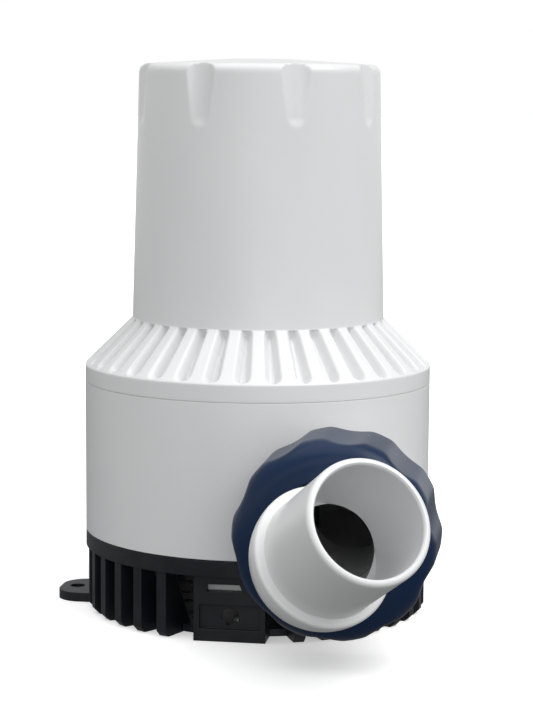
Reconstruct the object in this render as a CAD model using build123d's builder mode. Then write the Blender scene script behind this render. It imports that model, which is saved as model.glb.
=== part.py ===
"""Submersible bilge pump, built as an assembly of separate pieces.

Frame: +Z is the pump's axis, pointing up. The origin is on that axis at the underside of the strainer
base. The discharge port points along -Y, beside the axis, as a centrifugal pump's tangential outlet does.
All sizes are in millimetres.
"""

import os
from math import cos, radians, sin, sqrt

from build123d import *

os.makedirs("parts", exist_ok=True)


def finish(piece, name):
    """Label a finished piece and write it to its own file."""
    piece.part.label = name
    export_step(piece.part, f"parts/{name}.step")


# ---------------------------------------------------------------------------------------------
# Driving dimensions
# ---------------------------------------------------------------------------------------------

# Outer housings
BODY_R = 62.0              # lower housing's outer radius
BODY_FOOT_R = 61.9         # the same at its foot, a little less for mould draft
BODY_Z0 = 28.8             # underside of the lower housing's rim
SEAM_Z = 82.4              # seam between the lower and the motor housing
WALL = 3.0
LAP = 1.0                  # how far joined solids, and cuts that go through, run past each other
EDGE_CHAMFER = 0.5         # small turned edges

# Strainer base
BASE_TOP_Z = BODY_Z0 - 0.3
RING_Z0 = 22.9             # the plain top ring runs from here to BASE_TOP_Z
RING_R = 61.9
RING_INNER_R = 56.0
PLATE_R = 50.0
PLATE_T = 2.6
FIN_T = 3.8
FIN_INNER_R = 46.0
FIN_OUTER_R = 61.0
FIN_PITCH = 10.0           # degrees
FIN_FIRST = 23.2           # degrees from the port's side to the first fin, each way
EAR_T = 3.3
EAR_W = 23.0
EAR_END_R = 73.0
EAR_CORNER_R = 8.5
EAR_HOLE_AT_R = 67.0
EAR_HOLE_R = 2.75
FOOT_W = 24.7
FOOT_FACE_R = 58.5
FOOT_BACK_R = 55.0

# Discharge port, tangential to the volute
PORT_X = 39.0
PORT_Z = 43.4
PORT_BORE_R = 14.8
PORT_PIPE_R = 23.2         # thread root
PORT_END_Y = -84.5
THREAD_DEPTH = 1.4
THREAD_PITCH = 4.0
THREAD_TURNS = 4
THREAD_RISE = 0.3          # shares of the pitch at which the crest starts and ends, and the root starts
THREAD_CREST = 0.5
THREAD_FALL = 0.8
THREAD_START_Y = -67.5
THREAD_GAP = 0.35          # between the port's thread and the nut's, square to the axis

# Union nut
NUT_R = 33.1
NUT_BACK_Y = -65.0
NUT_FRONT_Y = -96.5
NUT_LOBES = 10
NUT_FIRST_LOBE = 23.4      # degrees from the top, clockwise as seen from outside the port
NUT_FLUTE_R = 22.0         # radius of each flute's cut
NUT_FLUTE_DEPTH = 1.4
NUT_ROUND = 7.5

# Hose tail for a 38 mm hose
NECK_R = 20.2
NECK_GAP = 0.5
FLANGE_R = 22.4
FLANGE_T = 3.8
GASKET_T = 1.4
BALL_R = 23.0
BALL_Y = -115.0
TAIL_R = 20.1
TAIL_BORE_R = 17.7
TAIL_LENGTH = 35.5
TAIL_BEND = 43.0           # degrees between the port's axis and the tail
TAIL_ROLL = 45.0           # degrees, from sideways (+X) towards up
SHOULDER = 1.2             # how far the elbow's shoulder stands in front of the ball's centre
SHOULDER_ROUND = 1.1

# Motor housing
RIM_TOP_Z = 88.5
CONE_TOP_R = 45.1
CONE_TOP_Z = 105.0
UPPER_TOP_R = 42.75
CORNER_Z = 191.8
CORNER_R = 3.2
CROWN_Z = 196.9
SPIGOT_R = 58.6
SPIGOT_INNER_R = 55.2
SPIGOT_Z0 = 66.0
RIB_COUNT = 36
RIB_FIRST = 9.0            # degrees from the port's side to a rib's middle
GROOVE_W = 4.2
GROOVE_DEPTH = 2.8
FLUTE_COUNT = 8
FLUTE_FIRST = 25.8
FLUTE_R = 9.5
FLUTE_LOW_Z = 178.0        # centre of a flute's round lower end
FLUTE_LOW_DEPTH = 0.6
FLUTE_TILT = 6.2           # degrees

# Volute and impeller
DECK_Z = 60.0              # the motor plate sits on the lower housing here
FLOOR_Z0 = 23.9
FLOOR_Z1 = FLOOR_Z0 + WALL
BOWL_R = 54.5
EYE_R = 20.0
SPIRAL_R0 = 35.5
SPIRAL_R1 = PORT_X + PORT_BORE_R
SPIRAL_SWEEP = 270.0       # degrees
SPIRAL_STEPS = 9
CAVITY_R = 59.0
IMPELLER_R = 32.0
IMPELLER_TOP_Z = 50.5
IMPELLER_LOW_Z = 29.5
VANES = 6
VANE_T = 2.4

# Motor
SHAFT_R = 4.0
RUNNING_GAP = 0.05
PLATE_R_MOTOR = 58.5
MOTOR_PLATE_T = 4.0
BELL_T = 6.0
MOTOR_R = 34.0
CAN_T = 2.2
CAN_Z1 = 165.0
MAGNET_T = 3.6
CORE_R = 26.4
CORE_Z0 = 84.0
CORE_Z1 = 138.0
SLOTS = 12
SLOT_W = 5.0
SLOT_DEPTH = 11.0
COMMUTATOR_R = 10.0
COMMUTATOR_Z0 = 149.0
COMMUTATOR_Z1 = 161.0
BRUSH_W = 5.0
BRUSH_H = 7.0
BRUSH_LENGTH = 9.0
HOLDER_WALL = 1.0
HOLDER_END_R = 29.0

# Cable gland at the back
GLAND_Z = 150.0
GLAND_BOSS_R = 8.0
GLAND_BOSS_END = 50.0
GLAND_HOLE_R = 5.2
CABLE_R = 3.2


def port_plane(y):
    """The plane square to the port's axis at a given Y, its normal pointing out of the port."""
    return Plane(origin=(PORT_X, y, PORT_Z), x_dir=(1, 0, 0), z_dir=(0, -1, 0))


def back_plane(y):
    """The plane square to the cable gland's axis at a given Y, its normal pointing out of the back."""
    return Plane(origin=(0, y, GLAND_Z), x_dir=(-1, 0, 0), z_dir=(0, 1, 0))


def side_plane(azimuth):
    """The upright plane through the axis whose X runs outwards at an azimuth and whose Y runs up."""
    out = Vector(sin(radians(azimuth)), -cos(radians(azimuth)), 0)
    return Plane(origin=(0, 0, 0), x_dir=out, z_dir=out.cross(Vector(0, 0, 1)))


def flat_plane(azimuth, z=0.0):
    """The level plane at a height whose X runs outwards at an azimuth."""
    out = Vector(sin(radians(azimuth)), -cos(radians(azimuth)), 0)
    return Plane(origin=(0, 0, z), x_dir=out, z_dir=(0, 0, 1))


# ---------------------------------------------------------------------------------------------
# Strainer base
# ---------------------------------------------------------------------------------------------

FIN_CHAMFER = 2.0
FINS_A_SIDE = 15
FIN_AZIMUTHS = [side * (FIN_FIRST + k * FIN_PITCH) for side in (-1, 1) for k in range(FINS_A_SIDE)]
EAR_AZIMUTHS = (-90.0, 180.0)
EAR_CLEAR = 12.0           # degrees either side of an ear without fins
EAR_WALL_T = 3.0
EAR_WALL_R = 59.5
LIP_Z = 4.3
RECESS_Z = 12.6
RECESS_DEPTH = 1.5
RECESS_SIDE = 2.0
RECESS_W = FOOT_W - 2 * RECESS_SIDE
TOOL_HOLE_R = 3.0
TOOL_HOLE_Z = 8.4
WINDOW_Z0 = 17.2
WINDOW_Z1 = 19.8
WINDOW_X0 = -7.9
WINDOW_X1 = 4.7
WINDOW_TAPER = 1.2         # how much narrower the window's top is at its right end
NOTCH_GAP = 0.5
INLET_SLOTS = 12
INLET_SLOT_W = 4.2
INLET_SLOT_LENGTH = 18.0
INLET_SLOT_AT_R = 33.0


def near_ear(azimuth):
    """Whether a fin's place is taken by an ear."""
    return any(abs((azimuth - ear + 180) % 360 - 180) < EAR_CLEAR for ear in EAR_AZIMUTHS)


with BuildPart() as strainer_base:
    with BuildSketch(Plane.XY):
        Circle(PLATE_R)
        with PolarLocations(INLET_SLOT_AT_R, INLET_SLOTS):
            SlotOverall(INLET_SLOT_LENGTH, INLET_SLOT_W, mode=Mode.SUBTRACT)
    extrude(amount=PLATE_T)
    with BuildSketch(Plane.XY.offset(RING_Z0)):
        Circle(RING_R)
        Circle(RING_INNER_R, mode=Mode.SUBTRACT)
    extrude(amount=BASE_TOP_Z - RING_Z0)
    for azimuth in FIN_AZIMUTHS:
        if near_ear(azimuth):
            continue
        with BuildSketch(side_plane(azimuth)):
            with BuildLine():
                Polyline(
                    (FIN_INNER_R, 0),
                    (FIN_OUTER_R - FIN_CHAMFER, 0),
                    (FIN_OUTER_R, FIN_CHAMFER),
                    (FIN_OUTER_R, RING_Z0 + LAP),
                    (RING_INNER_R, RING_Z0 + LAP),
                    (FIN_INNER_R, PLATE_T),
                    close=True,
                )
            make_face()
        extrude(amount=FIN_T / 2, both=True)
    for azimuth in EAR_AZIMUTHS:
        with BuildSketch(flat_plane(azimuth)):
            with Locations(((EAR_END_R + FIN_INNER_R) / 2, 0)):
                RectangleRounded(EAR_END_R - FIN_INNER_R, EAR_W, EAR_CORNER_R)
            with Locations((EAR_HOLE_AT_R, 0)):
                Circle(EAR_HOLE_R, mode=Mode.SUBTRACT)
        extrude(amount=EAR_T)
        with BuildSketch(flat_plane(azimuth, EAR_T)):
            with Locations((EAR_WALL_R - EAR_WALL_T / 2, 0)):
                Rectangle(EAR_WALL_T, EAR_W)
        extrude(amount=RING_Z0 + LAP - EAR_T)
    # Front foot: a lip on the floor, a recessed panel with the tool hole and the latch window above it.
    with BuildSketch(flat_plane(0)):
        with Locations(((FIN_INNER_R + FOOT_FACE_R) / 2, 0)):
            Rectangle(FOOT_FACE_R - FIN_INNER_R, FOOT_W)
    extrude(amount=LIP_Z)
    with BuildSketch(flat_plane(0, LIP_Z)):
        with Locations(((FOOT_BACK_R + FOOT_FACE_R) / 2, 0)):
            Rectangle(FOOT_FACE_R - FOOT_BACK_R, FOOT_W)
    extrude(amount=RING_Z0 + LAP - LIP_Z)
    front_face = Plane(origin=(0, -FOOT_FACE_R, 0), x_dir=(1, 0, 0), z_dir=(0, -1, 0))
    with BuildSketch(front_face):
        with Locations((0, (LIP_Z + RECESS_Z) / 2)):
            Rectangle(RECESS_W, RECESS_Z - LIP_Z)
    extrude(amount=-RECESS_DEPTH, mode=Mode.SUBTRACT)
    with BuildSketch(front_face):
        with Locations((0, TOOL_HOLE_Z)):
            Circle(TOOL_HOLE_R)
        with BuildLine():
            Polyline(
                (WINDOW_X0, WINDOW_Z0),
                (WINDOW_X1, WINDOW_Z0),
                (WINDOW_X1 - WINDOW_TAPER, WINDOW_Z1),
                (WINDOW_X0, WINDOW_Z1),
                close=True,
            )
        make_face()
    extrude(amount=-(FOOT_FACE_R - FOOT_BACK_R), mode=Mode.SUBTRACT)
    # Notch that lets the port's pipe drop into the ring from above.
    with BuildSketch(port_plane(0)):
        Circle(PORT_PIPE_R + NOTCH_GAP)
    extrude(amount=RING_R + LAP, mode=Mode.SUBTRACT)
finish(strainer_base, "strainer_base")


# ---------------------------------------------------------------------------------------------
# Lower housing: shell, volute and threaded port
# ---------------------------------------------------------------------------------------------

CORING_GAP = 0.5           # wall left between the bowl and the coring
CORE_EDGE_X = 8.0          # the coring stays on the -X side of this
TONGUE_W = 16.0
TONGUE_T = 2.6
TONGUE_R = 54.5
TONGUE_Z0 = 15.0


def spiral_point(turned):
    """A point of the volute's wall, turned clockwise from the port's side as seen from above."""
    radius = SPIRAL_R0 + (SPIRAL_R1 - SPIRAL_R0) * turned / SPIRAL_SWEEP
    return (-radius * sin(radians(turned)), -radius * cos(radians(turned)))


def volute_outline():
    """The volute's outline in plan: the spiral, then the straight outlet beside it."""
    points = [spiral_point(SPIRAL_SWEEP * k / SPIRAL_STEPS) for k in range(SPIRAL_STEPS + 1)]
    outlet_end = -sqrt(BODY_R**2 - PORT_X**2) + PORT_BORE_R
    with BuildSketch() as plan:
        with BuildLine():
            Spline(*points)
            Polyline(points[-1], (SPIRAL_R1, outlet_end), (PORT_X - PORT_BORE_R, outlet_end), points[0])
        make_face()
    return plan.sketch


def thread_outline(root, first_y, last_y):
    """Half section of the thread's rings: points (distance from the port's axis, Y)."""
    points = [(root, first_y)]
    for turn in range(THREAD_TURNS):
        start = THREAD_START_Y - turn * THREAD_PITCH
        points += [
            (root, start),
            (root + THREAD_DEPTH, start - THREAD_PITCH * THREAD_RISE),
            (root + THREAD_DEPTH, start - THREAD_PITCH * THREAD_CREST),
            (root, start - THREAD_PITCH * THREAD_FALL),
        ]
    points.append((root, last_y))
    return points


def port_section(points):
    """Place half-section points beside the port's axis, in the level plane through it."""
    return [(PORT_X + distance, y) for distance, y in points]


PORT_LEVEL = Plane.XY.offset(PORT_Z)
PORT_AXIS = Axis((PORT_X, 0, PORT_Z), (0, -1, 0))

with BuildPart() as pump_body:
    with BuildSketch(Plane.XZ):
        with BuildLine():
            Polyline(
                (0, FLOOR_Z0),
                (BOWL_R, FLOOR_Z0),
                (BOWL_R, BODY_Z0),
                (BODY_FOOT_R, BODY_Z0),
                (BODY_R, SEAM_Z),
                (CAVITY_R, SEAM_Z),
                (CAVITY_R, DECK_Z),
                (0, DECK_Z),
                close=True,
            )
        make_face()
    revolve(axis=Axis.Z)
    with BuildSketch(PORT_LEVEL):
        with BuildLine():
            Polyline(
                *port_section([(0, 0)] + thread_outline(PORT_PIPE_R, -LAP, PORT_END_Y) + [(0, PORT_END_Y)]),
                close=True,
            )
        make_face()
    revolve(axis=PORT_AXIS)
    with BuildSketch(Plane.XY.offset(DECK_Z)):
        Circle(CAVITY_R)
    extrude(amount=SEAM_Z - DECK_Z, mode=Mode.SUBTRACT)
    with BuildSketch():
        Circle(BOWL_R)
    extrude(amount=FLOOR_Z0, mode=Mode.SUBTRACT)
    # Coring between the volute's wall and the shell, open below, on the side away from the outlet.
    with BuildSketch(Plane.XY.offset(BODY_Z0 - LAP)):
        Circle(BODY_R - WALL)
        Circle(BOWL_R + CORING_GAP, mode=Mode.SUBTRACT)
        with Locations((BODY_R + CORE_EDGE_X, 0)):
            Rectangle(2 * BODY_R, 2 * BODY_R, mode=Mode.SUBTRACT)
    extrude(amount=DECK_Z - WALL - BODY_Z0 + LAP, mode=Mode.SUBTRACT)
    # Volute chamber, inlet eye and outlet bore.
    with BuildSketch(Plane.XY.offset(FLOOR_Z1)):
        add(volute_outline())
    extrude(amount=DECK_Z - FLOOR_Z1, mode=Mode.SUBTRACT)
    with BuildSketch(Plane.XY.offset(FLOOR_Z0)):
        Circle(EYE_R)
    extrude(amount=WALL, mode=Mode.SUBTRACT)
    with BuildSketch(port_plane(0)):
        Circle(PORT_BORE_R)
    extrude(amount=-PORT_END_Y, mode=Mode.SUBTRACT)
    # Latch tongue behind the base's window.
    with BuildSketch(flat_plane(0, TONGUE_Z0)):
        with Locations((TONGUE_R - TONGUE_T / 2, 0)):
            Rectangle(TONGUE_T, TONGUE_W)
    extrude(amount=FLOOR_Z0 + LAP - TONGUE_Z0)
finish(pump_body, "pump_body")


# ---------------------------------------------------------------------------------------------
# Discharge: gasket, union nut and hose tail
# ---------------------------------------------------------------------------------------------

FLANGE_BACK_Y = PORT_END_Y - GASKET_T
FLANGE_FRONT_Y = FLANGE_BACK_Y - FLANGE_T
NUT_LIP_Y = FLANGE_FRONT_Y - THREAD_GAP
NUT_THREAD_R = PORT_PIPE_R + THREAD_GAP + RUNNING_GAP
NUT_CHAMFER = 1.0

with BuildPart() as port_gasket:
    with BuildSketch(port_plane(PORT_END_Y)):
        Circle(FLANGE_R)
        Circle(PORT_BORE_R, mode=Mode.SUBTRACT)
    extrude(amount=GASKET_T)
finish(port_gasket, "port_gasket")

with BuildPart() as discharge_nut:
    with BuildSketch(PORT_LEVEL):
        with BuildLine():
            Polyline(
                *port_section(
                    thread_outline(NUT_THREAD_R, NUT_BACK_Y, NUT_LIP_Y)
                    + [
                        (NECK_R + NECK_GAP, NUT_LIP_Y),
                        (NECK_R + NECK_GAP, NUT_FRONT_Y),
                        (NUT_R - NUT_ROUND, NUT_FRONT_Y),
                    ]
                )
            )
            RadiusArc(
                (PORT_X + NUT_R - NUT_ROUND, NUT_FRONT_Y),
                (PORT_X + NUT_R, NUT_FRONT_Y + NUT_ROUND),
                -NUT_ROUND,
            )
            Polyline(
                *port_section(
                    [
                        (NUT_R, NUT_FRONT_Y + NUT_ROUND),
                        (NUT_R, NUT_BACK_Y + NUT_CHAMFER),
                        (NUT_R - NUT_CHAMFER, NUT_BACK_Y),
                        (NUT_THREAD_R, NUT_BACK_Y),
                    ]
                )
            )
        make_face()
    revolve(axis=PORT_AXIS)
    for lobe in range(NUT_LOBES):
        turned = radians(NUT_FIRST_LOBE + (lobe + 0.5) * 360 / NUT_LOBES)
        reach = NUT_R - NUT_FLUTE_DEPTH + NUT_FLUTE_R
        with BuildSketch(port_plane(NUT_BACK_Y + LAP)):
            with Locations((reach * sin(turned), reach * cos(turned))):
                Circle(NUT_FLUTE_R)
        extrude(amount=NUT_BACK_Y - NUT_FRONT_Y + 2 * LAP, mode=Mode.SUBTRACT)
finish(discharge_nut, "discharge_nut")

BALL_AT = Vector(PORT_X, BALL_Y, PORT_Z)
TAIL_DIR = Vector(
    sin(radians(TAIL_BEND)) * cos(radians(TAIL_ROLL)),
    -cos(radians(TAIL_BEND)),
    sin(radians(TAIL_BEND)) * sin(radians(TAIL_ROLL)),
)
TAIL_PLANE = Plane(origin=BALL_AT, x_dir=TAIL_DIR.cross(Vector(0, 0, 1)), z_dir=TAIL_DIR)
MOUTH_OUTER_ROUND = 1.5
MOUTH_INNER_ROUND = 0.6

with BuildPart() as hose_tail:
    with BuildSketch(port_plane(FLANGE_BACK_Y)):
        Circle(FLANGE_R)
    extrude(amount=FLANGE_T)
    with BuildSketch(port_plane(FLANGE_BACK_Y)):
        Circle(NECK_R)
    extrude(amount=FLANGE_BACK_Y - BALL_Y)
    with Locations(BALL_AT):
        Sphere(BALL_R)
    with BuildSketch(TAIL_PLANE.offset(SHOULDER)):
        Circle(2 * BALL_R)
    extrude(amount=2 * BALL_R, mode=Mode.SUBTRACT)
    shoulder_edge = hose_tail.faces().sort_by(Axis(BALL_AT, TAIL_DIR))[-1].edges()
    fillet(shoulder_edge, SHOULDER_ROUND)
    with BuildSketch(TAIL_PLANE):
        Circle(TAIL_R)
    extrude(amount=TAIL_LENGTH)
    with BuildSketch(port_plane(FLANGE_BACK_Y)):
        Circle(PORT_BORE_R)
    extrude(amount=FLANGE_BACK_Y - BALL_Y, mode=Mode.SUBTRACT)
    with Locations(BALL_AT):
        Sphere(PORT_BORE_R, mode=Mode.SUBTRACT)
    with BuildSketch(TAIL_PLANE):
        Circle(TAIL_BORE_R)
    extrude(amount=TAIL_LENGTH, mode=Mode.SUBTRACT)
    mouth_edges = hose_tail.faces().sort_by(Axis(BALL_AT, TAIL_DIR))[-1].edges().sort_by(SortBy.LENGTH)
    fillet(mouth_edges[-1], MOUTH_OUTER_ROUND)
    fillet(mouth_edges[0], MOUTH_INNER_ROUND)
finish(hose_tail, "hose_tail")


# ---------------------------------------------------------------------------------------------
# Motor housing
# ---------------------------------------------------------------------------------------------

CONE = Vector(CONE_TOP_R - BODY_R, CONE_TOP_Z - RIM_TOP_Z).normalized()
CONE_OUT = Vector(CONE.Y, -CONE.X)
CONE_WALL = 5.5
INNER_LOW_SHARE = 0.18     # where the shoulder's inner slope starts and ends, as shares of the outer one
INNER_HIGH_SHARE = 0.93
INNER_TOP_R = UPPER_TOP_R - WALL
CROWN_EDGE_R = UPPER_TOP_R - CORNER_R
CROWN_FLAT_R = 12.0
GROOVE_LOW_GAP = 0.9       # rim left below each groove
GROOVE_HIGH_GAP = 0.9      # shoulder left above each groove
GROOVE_HIGH_DEPTH = 1.6
GROOVE_ROUND = GROOVE_W / 2 - 0.1
O_RING_R = 1.1
O_RING_Z = 74.0
O_RING_DEPTH = 1.9
O_RING_GROOVE_R = SPIGOT_R - O_RING_DEPTH
O_RING_SIDE = 0.1          # room either side of the ring in its groove
BOSS_START = MOTOR_R + 6.0
GLAND_HOLE_START = MOTOR_R + 2.0


def cone_point(along, depth):
    """A point of the shoulder's section: distance up the slope from the rim, and depth below it."""
    return Vector(BODY_R, RIM_TOP_Z) + CONE * along - CONE_OUT * depth


CONE_LENGTH = (Vector(CONE_TOP_R, CONE_TOP_Z) - Vector(BODY_R, RIM_TOP_Z)).length
INNER_LOW = cone_point(CONE_LENGTH * INNER_LOW_SHARE, CONE_WALL)
INNER_HIGH = cone_point(CONE_LENGTH * INNER_HIGH_SHARE, CONE_WALL)

# The cutter for one groove between two ribs, and for one scooped flute of the top.
groove_end = cone_point(GROOVE_LOW_GAP, GROOVE_DEPTH)
groove_top = cone_point(CONE_LENGTH - GROOVE_HIGH_GAP, GROOVE_HIGH_DEPTH)
groove_low_out = groove_end + CONE_OUT * 2 * GROOVE_DEPTH
groove_high_out = groove_top + CONE_OUT * 2 * GROOVE_DEPTH
with BuildPart() as groove:
    with BuildSketch(side_plane(0)):
        with BuildLine():
            Polyline(
                (groove_end.X, groove_end.Y),
                (groove_low_out.X, groove_low_out.Y),
                (groove_high_out.X, groove_high_out.Y),
                (groove_top.X, groove_top.Y),
                close=True,
            )
        make_face()
    extrude(amount=GROOVE_W / 2, both=True)
    low_face = groove.faces().sort_by(Axis.Z)[0]
    low_edges = low_face.edges().filter_by(Axis.X, reverse=True)
    fillet(low_edges, GROOVE_ROUND)

WALL_LEAN = (CONE_TOP_R - UPPER_TOP_R) / (CORNER_Z - CONE_TOP_Z)
FLUTE_LOW_WALL_R = UPPER_TOP_R + WALL_LEAN * (CORNER_Z - FLUTE_LOW_Z)
flute_end = Vector(0, -(FLUTE_LOW_WALL_R - FLUTE_LOW_DEPTH + FLUTE_R), FLUTE_LOW_Z)
flute_axis = Vector(0, sin(radians(FLUTE_TILT)), cos(radians(FLUTE_TILT)))
with BuildPart() as flute:
    with BuildSketch(Plane(origin=flute_end, x_dir=(1, 0, 0), z_dir=flute_axis)):
        Circle(FLUTE_R)
    extrude(amount=5 * FLUTE_R)
    with Locations(flute_end):
        Sphere(FLUTE_R)

with BuildPart() as motor_housing:
    with BuildSketch(Plane.XZ):
        with BuildLine():
            Polyline(
                (0, CROWN_Z - WALL),
                (INNER_TOP_R - CORNER_R, CORNER_Z),
                (INNER_TOP_R, CORNER_Z - CORNER_R),
                (INNER_HIGH.X, INNER_HIGH.Y),
                (SPIGOT_INNER_R, INNER_LOW.Y),
                (SPIGOT_INNER_R, SPIGOT_Z0),
                (SPIGOT_R, SPIGOT_Z0),
                (SPIGOT_R, SEAM_Z),
                (BODY_R, SEAM_Z),
                (BODY_R, RIM_TOP_Z),
                (CONE_TOP_R, CONE_TOP_Z),
                (UPPER_TOP_R, CORNER_Z),
            )
            RadiusArc((UPPER_TOP_R, CORNER_Z), (CROWN_EDGE_R, CORNER_Z + CORNER_R), -CORNER_R)
            Polyline(
                (CROWN_EDGE_R, CORNER_Z + CORNER_R),
                (CROWN_FLAT_R, CROWN_Z),
                (0, CROWN_Z),
                (0, CROWN_Z - WALL),
            )
        make_face()
    revolve(axis=Axis.Z)
    # Scooped flutes round the top.
    with PolarLocations(0, FLUTE_COUNT, start_angle=FLUTE_FIRST):
        add(flute.part, mode=Mode.SUBTRACT)
    # Cable boss at the back.
    with BuildSketch(back_plane(BOSS_START)):
        Circle(GLAND_BOSS_R)
    extrude(amount=GLAND_BOSS_END - BOSS_START)
    with BuildSketch(back_plane(GLAND_HOLE_START)):
        Circle(GLAND_HOLE_R)
    extrude(amount=GLAND_BOSS_END - MOTOR_R, mode=Mode.SUBTRACT)
    # Grooves between the shoulder's ribs.
    with PolarLocations(0, RIB_COUNT, start_angle=RIB_FIRST + 180 / RIB_COUNT):
        add(groove.part, mode=Mode.SUBTRACT)
    # O-ring groove in the spigot.
    with BuildSketch(Plane.XY.offset(O_RING_Z - O_RING_R - O_RING_SIDE)):
        Circle(SPIGOT_R + LAP)
        Circle(O_RING_GROOVE_R, mode=Mode.SUBTRACT)
    extrude(amount=2 * (O_RING_R + O_RING_SIDE), mode=Mode.SUBTRACT)
finish(motor_housing, "motor_housing")


def ring(name, inner_r, outer_r, low_z, high_z):
    """A plain round piece about the pump's axis."""
    with BuildPart() as piece:
        with BuildSketch(Plane.XY.offset(low_z)):
            Circle(outer_r)
            if inner_r:
                Circle(inner_r, mode=Mode.SUBTRACT)
        extrude(amount=high_z - low_z)
    finish(piece, name)


with BuildPart() as housing_o_ring:
    with BuildSketch(Plane.XZ):
        with Locations((O_RING_GROOVE_R + O_RING_R + RUNNING_GAP, O_RING_Z)):
            Circle(O_RING_R)
    revolve(axis=Axis.Z)
finish(housing_o_ring, "housing_o_ring")


# ---------------------------------------------------------------------------------------------
# Wet end: motor plate, shaft seal, impeller and its nut
# ---------------------------------------------------------------------------------------------

SEAL_R = 9.0
PLATE_TOP_Z = DECK_Z + MOTOR_PLATE_T
SCREW_AT_R = 20.0
SCREW_R = 2.0
SCREW_HEAD_R = 3.6
SCREW_HEAD_T = 2.2
SCREW_END_Z = PLATE_TOP_Z + 5.0
SCREW_SINK = 0.3           # how far the screw heads stand inside the plate
SCREW_HEAD_ROOM = 0.4
SCREW_HOLE_ROOM = 0.1
KEY_R = 1.6
KEY_DEPTH = 1.2
SEAL_Z0 = DECK_Z + 0.2
SEAL_Z1 = PLATE_TOP_Z - 0.2
SEAL_FOOT_R = SHAFT_R + 1.6
SEAL_HOLLOW_R = SHAFT_R + 2.4
SEAL_NECK_R = SHAFT_R + 1.4
SEAL_NECK_Z = DECK_Z + 1.8
SEAL_LIP_Z0 = DECK_Z + 1.4
SEAL_LIP_Z1 = DECK_Z + 2.2
HUB_R = 8.0
NUT_FLATS = 10.0
NUT_T = 4.5
SHAFT_THREAD_R = 3.0
SHAFT_LOW_Z = IMPELLER_LOW_Z - NUT_T - 0.6
SHAFT_TOP_Z = CAN_Z1 + BELL_T + 2.0
VANE_INNER_R = 10.0
VANE_SPANS = 4             # spans of the curve through each face of a vane
VANE_LIFT = 1.0            # how far the vanes stay inside the hub and the disc
DISC_T = 3.0
HUB_RISE = 3.0
VANE_ROOT_R = HUB_R - LAP
VANE_BACKSWEEP = 50.0      # degrees turned between a vane's root and its tip

with BuildPart() as motor_plate:
    with BuildSketch(Plane.XY.offset(DECK_Z)):
        Circle(PLATE_R_MOTOR)
        Circle(SEAL_R, mode=Mode.SUBTRACT)
    extrude(amount=MOTOR_PLATE_T)
    with BuildSketch(Plane.XY.offset(DECK_Z)):
        with PolarLocations(SCREW_AT_R, 2):
            Circle(SCREW_HEAD_R + SCREW_HEAD_ROOM)
    extrude(amount=SCREW_HEAD_T + SCREW_SINK, mode=Mode.SUBTRACT)
    with BuildSketch(Plane.XY.offset(DECK_Z)):
        with PolarLocations(SCREW_AT_R, 2):
            Circle(SCREW_R + SCREW_HOLE_ROOM)
    extrude(amount=MOTOR_PLATE_T, mode=Mode.SUBTRACT)
finish(motor_plate, "motor_plate")

with BuildPart() as motor_screws:
    with BuildSketch(Plane.XY.offset(DECK_Z + SCREW_SINK)):
        with PolarLocations(SCREW_AT_R, 2):
            Circle(SCREW_HEAD_R)
    extrude(amount=SCREW_HEAD_T)
    with BuildSketch(Plane.XY.offset(DECK_Z + SCREW_SINK)):
        with PolarLocations(SCREW_AT_R, 2):
            RegularPolygon(KEY_R, 6)
    extrude(amount=KEY_DEPTH, mode=Mode.SUBTRACT)
    with BuildSketch(Plane.XY.offset(DECK_Z + SCREW_SINK + SCREW_HEAD_T)):
        with PolarLocations(SCREW_AT_R, 2):
            Circle(SCREW_R)
    extrude(amount=SCREW_END_Z - DECK_Z - SCREW_SINK - SCREW_HEAD_T)
finish(motor_screws, "motor_screws")

with BuildPart() as shaft_seal:
    with BuildSketch(Plane.XZ):
        with BuildLine():
            Polyline(
                (SHAFT_R + RUNNING_GAP, SEAL_LIP_Z0),
                (SEAL_FOOT_R, SEAL_Z0),
                (SEAL_R, SEAL_Z0),
                (SEAL_R, SEAL_Z1),
                (SEAL_HOLLOW_R, SEAL_Z1),
                (SEAL_NECK_R, SEAL_NECK_Z),
                (SHAFT_R + RUNNING_GAP, SEAL_LIP_Z1),
                close=True,
            )
        make_face()
    revolve(axis=Axis.Z)
finish(shaft_seal, "shaft_seal")


def vane_point(radius, side):
    """A point of one face of a curved vane, at a radius."""
    turned = VANE_BACKSWEEP * (radius - VANE_INNER_R) / (IMPELLER_R - VANE_INNER_R)
    across = side * VANE_T / 2
    angle = radians(turned)
    return (radius * sin(angle) + across * cos(angle), -radius * cos(angle) + across * sin(angle))


with BuildPart() as impeller:
    with BuildSketch(Plane.XY.offset(IMPELLER_TOP_Z)):
        Circle(IMPELLER_R)
    extrude(amount=-DISC_T)
    with BuildSketch(Plane.XY.offset(IMPELLER_LOW_Z)):
        Circle(HUB_R)
    extrude(amount=IMPELLER_TOP_Z - IMPELLER_LOW_Z + HUB_RISE)
    with BuildSketch(Plane.XY.offset(IMPELLER_LOW_Z + VANE_LIFT)):
        with PolarLocations(0, VANES):
            with BuildLine():
                vane_reach = IMPELLER_R - VANE_ROOT_R
                radii = [VANE_ROOT_R + vane_reach * k / VANE_SPANS for k in range(VANE_SPANS + 1)]
                one_face = Spline(*[vane_point(radius, -1) for radius in radii])
                other_face = Spline(*[vane_point(radius, 1) for radius in radii])
                Line(one_face @ 0, other_face @ 0)
                Line(one_face @ 1, other_face @ 1)
            make_face()
    extrude(amount=IMPELLER_TOP_Z - IMPELLER_LOW_Z - 2 * VANE_LIFT)
    with BuildSketch(Plane.XY.offset(IMPELLER_LOW_Z)):
        Circle(SHAFT_R)
    extrude(amount=IMPELLER_TOP_Z - IMPELLER_LOW_Z + HUB_RISE, mode=Mode.SUBTRACT)
finish(impeller, "impeller")

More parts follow.
